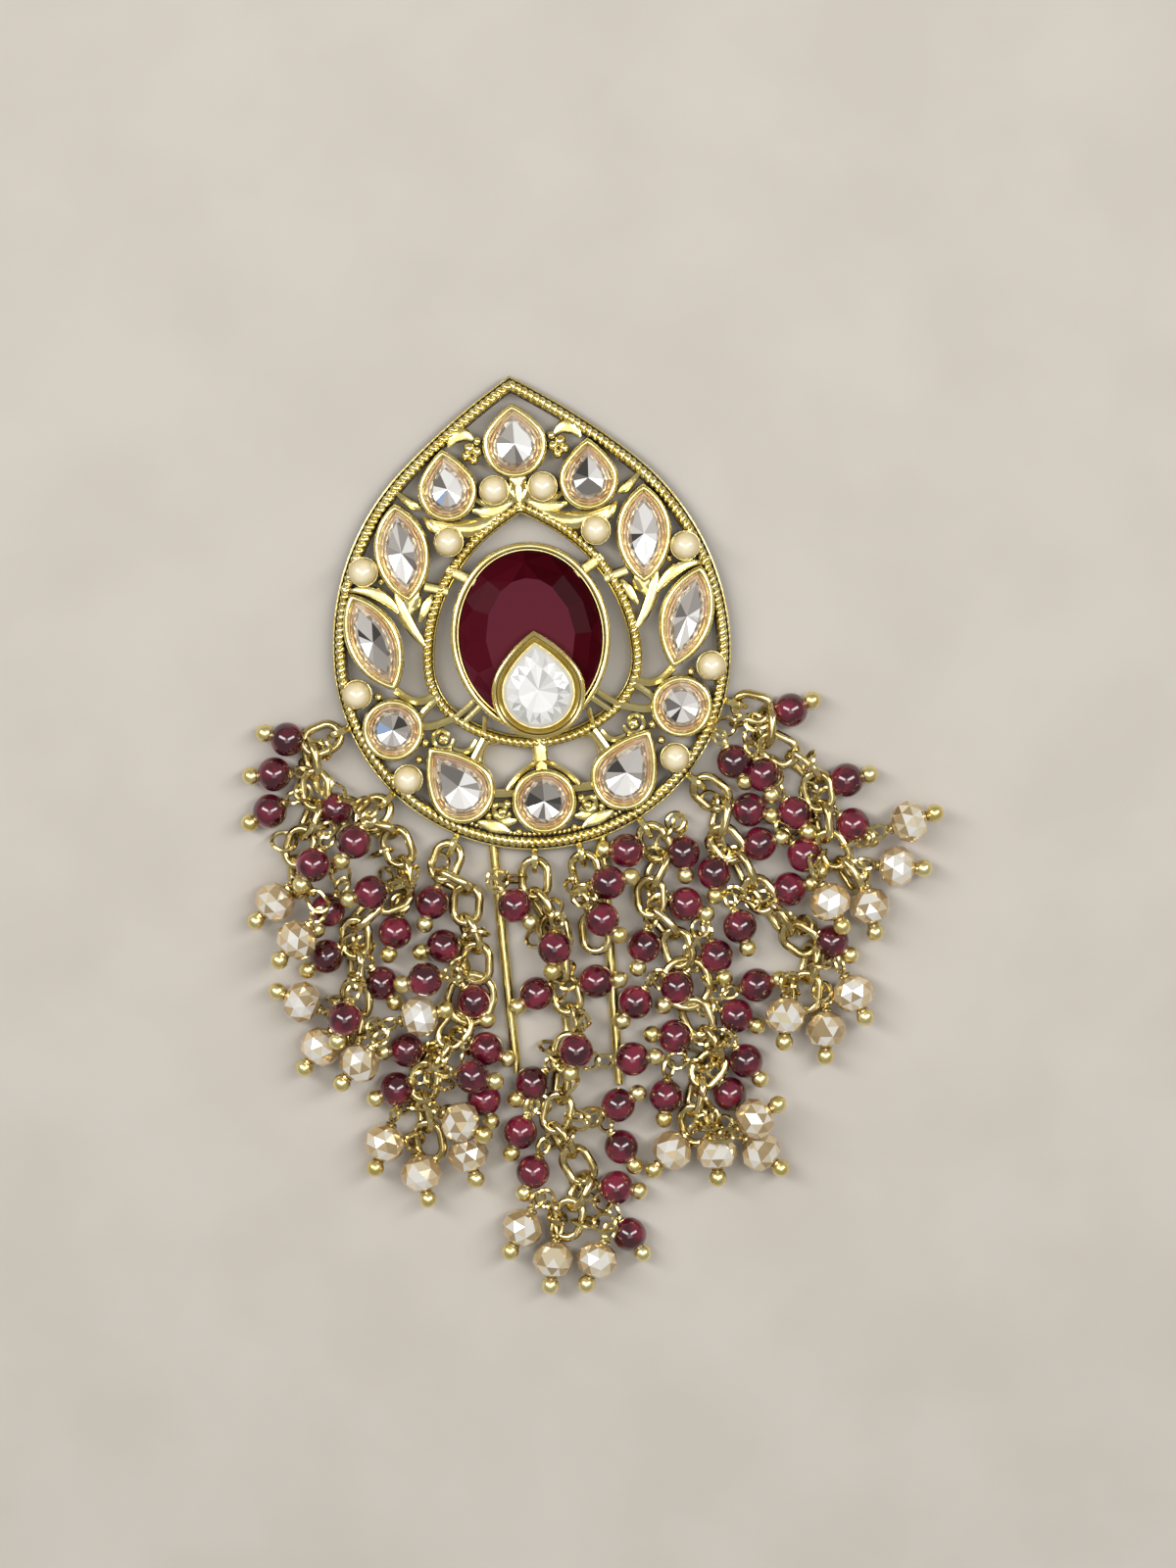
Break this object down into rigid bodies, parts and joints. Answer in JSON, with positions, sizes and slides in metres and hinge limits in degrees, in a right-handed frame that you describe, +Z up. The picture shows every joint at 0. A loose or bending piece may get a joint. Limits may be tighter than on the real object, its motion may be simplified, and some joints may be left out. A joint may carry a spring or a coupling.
{
  "type": "hair bun brooch",
  "caption": "Pointed openwork gold brooch plate set with a red oval stone, a white drop, clear stones and pearls, with a hair fork behind and a fringe of beaded chains.",
  "frame": {"origin": "middle of the flat back of the red stone's cup, on the surface that the brooch lies on", "axes": "+Z up out of the plate's face, +Y towards the plate's point, +X to the right as seen from the face"},
  "size_m": [0.086, 0.1131, 0.0083],
  "materials": {
    "gold": "antique gold plate, bright on the edges and dark in the hollows",
    "ruby_stone": "faceted deep red stone, foiled behind",
    "clear_stone": "faceted clear stone over foil",
    "white_stone": "milky faceted stone",
    "pearl": "ivory pearl lustre",
    "maroon_bead": "glossy wine-red glass bead",
    "champagne_crystal": "faceted champagne crystal bead"
  },
  "bodies": {
    "root": {"plate": "gold", "drop_setting": "gold", "hair_fork": "gold", "ruby_stone": "ruby_stone", "drop_stone": "white_stone", "top_pear": "clear_stone", "upper_pear_left": "clear_stone", "upper_pear_right": "clear_stone", "upper_marquise_left": "clear_stone", "upper_marquise_right": "clear_stone", "lower_marquise_left": "clear_stone", "lower_marquise_right": "clear_stone", "side_round_left": "clear_stone", "side_round_right": "clear_stone", "lower_pear_left": "clear_stone", "lower_pear_right": "clear_stone", "bottom_round": "clear_stone", "pearl_crown_left": "pearl", "pearl_crown_right": "pearl", "pearl_shoulder_left": "pearl", "pearl_shoulder_right": "pearl", "pearl_upper_side_left": "pearl", "pearl_upper_side_right": "pearl", "pearl_lower_side_left": "pearl", "pearl_lower_side_right": "pearl", "pearl_low_left": "pearl", "pearl_low_right": "pearl", "strand_1": "maroon_bead", "strand_2": "maroon_bead", "strand_3": "maroon_bead", "strand_4": "maroon_bead", "strand_5": "maroon_bead", "strand_6": "maroon_bead", "strand_7": "maroon_bead", "strand_8": "maroon_bead"}
  },
  "joints": []
}
